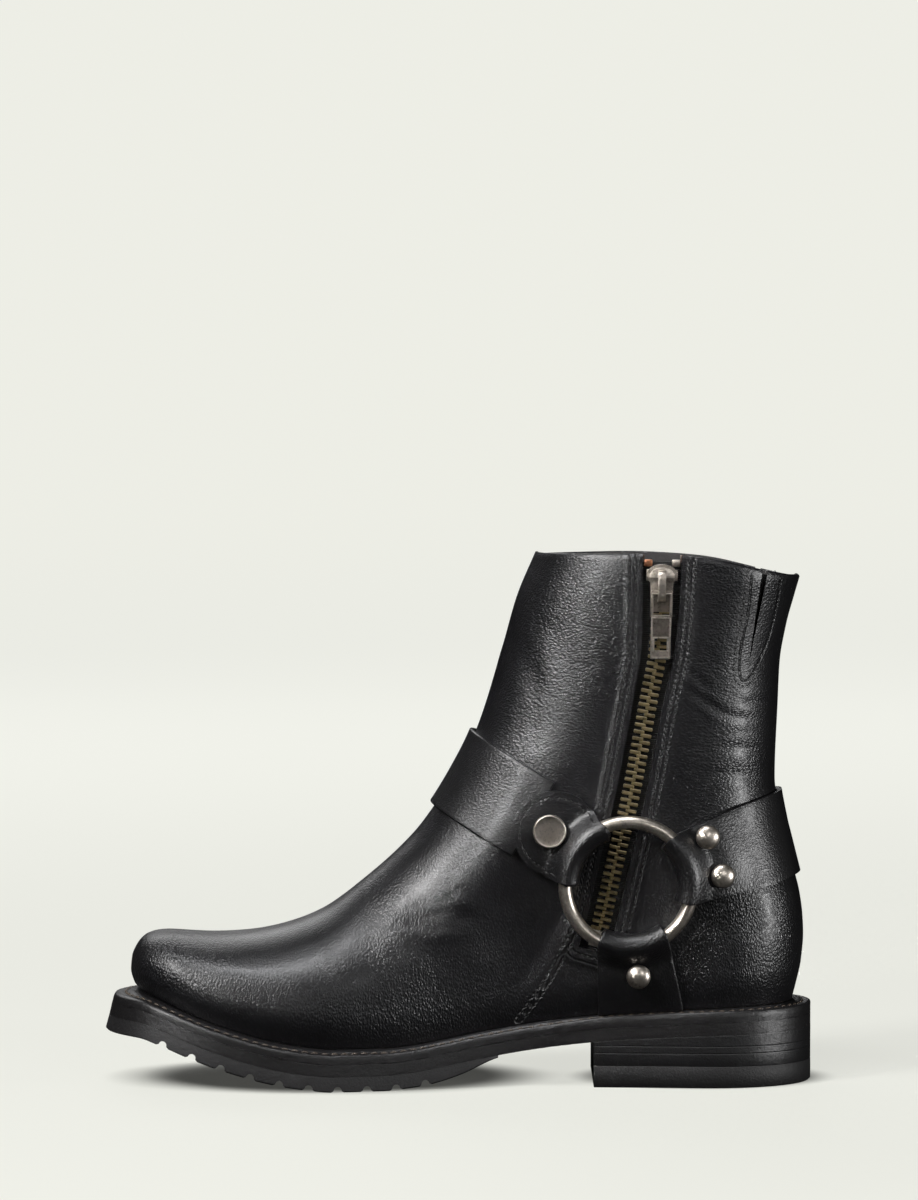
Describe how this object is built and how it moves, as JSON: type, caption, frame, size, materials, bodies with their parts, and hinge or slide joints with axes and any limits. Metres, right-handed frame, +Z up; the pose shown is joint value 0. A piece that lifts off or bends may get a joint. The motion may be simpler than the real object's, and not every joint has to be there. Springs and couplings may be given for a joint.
{
  "type": "harness boot",
  "caption": "Black leather harness ankle boot with ring-and-strap harness, inner side zip, stitched welt, lugged sole and stacked heel.",
  "frame": {"origin": "middle of the footprint, on the floor", "axes": "+X to the toe, +Y to the inner side of the foot, +Z up"},
  "size_m": [0.2752, 0.099, 0.2065],
  "materials": {
    "black_leather": "smooth black leather with fine grain, soft gloss",
    "insole_leather": "natural vegetable-tanned leather",
    "edge_leather": "black painted leather edge, brown where worn",
    "black_rubber": "matt moulded rubber",
    "antique_nickel": "antique nickel, dark in its hollows",
    "antique_brass": "antique brass",
    "zip_fabric": "black woven tape",
    "gore_elastic": "black ribbed elastic"
  },
  "bodies": {
    "boot": {"upper": "black_leather", "rear_strap": "black_leather", "front_strap": "black_leather", "snap_tab": "black_leather", "sole_strap_medial": "black_leather", "sole_strap_lateral": "black_leather", "insole": "insole_leather", "welt": "edge_leather", "midsole": "edge_leather", "heel_stack": "edge_leather", "outsole": "black_rubber", "heel_lift": "black_rubber", "ring_medial": "antique_nickel", "ring_lateral": "antique_nickel", "snap_cap": "antique_nickel", "rivet_rear_medial_1": "antique_nickel", "rivet_rear_medial_2": "antique_nickel", "rivet_sole_strap_medial": "antique_nickel", "rivet_rear_lateral_1": "antique_nickel", "rivet_rear_lateral_2": "antique_nickel", "rivet_sole_strap_lateral": "antique_nickel", "rivet_front_lateral_1": "antique_nickel", "rivet_front_lateral_2": "antique_nickel", "zip_slider": "antique_nickel", "zip_bottom_stop": "antique_nickel", "zip_top_stop_rear": "antique_nickel", "zip_chain": "antique_brass", "zip_top_stop_front": "antique_brass", "zip_tape": "zip_fabric", "gore_medial": "gore_elastic", "gore_lateral": "gore_elastic"},
    "pull": {"zip_pull": "antique_nickel"}
  },
  "joints": [
    {"name": "pull_swing", "type": "hinge", "parent": "boot", "child": "pull", "pos_m": [-0.07815, 0.03928, 0.19256], "axis": [0.9998, 0.0036, 0.0186], "range_deg": [0, 160]}
  ]
}
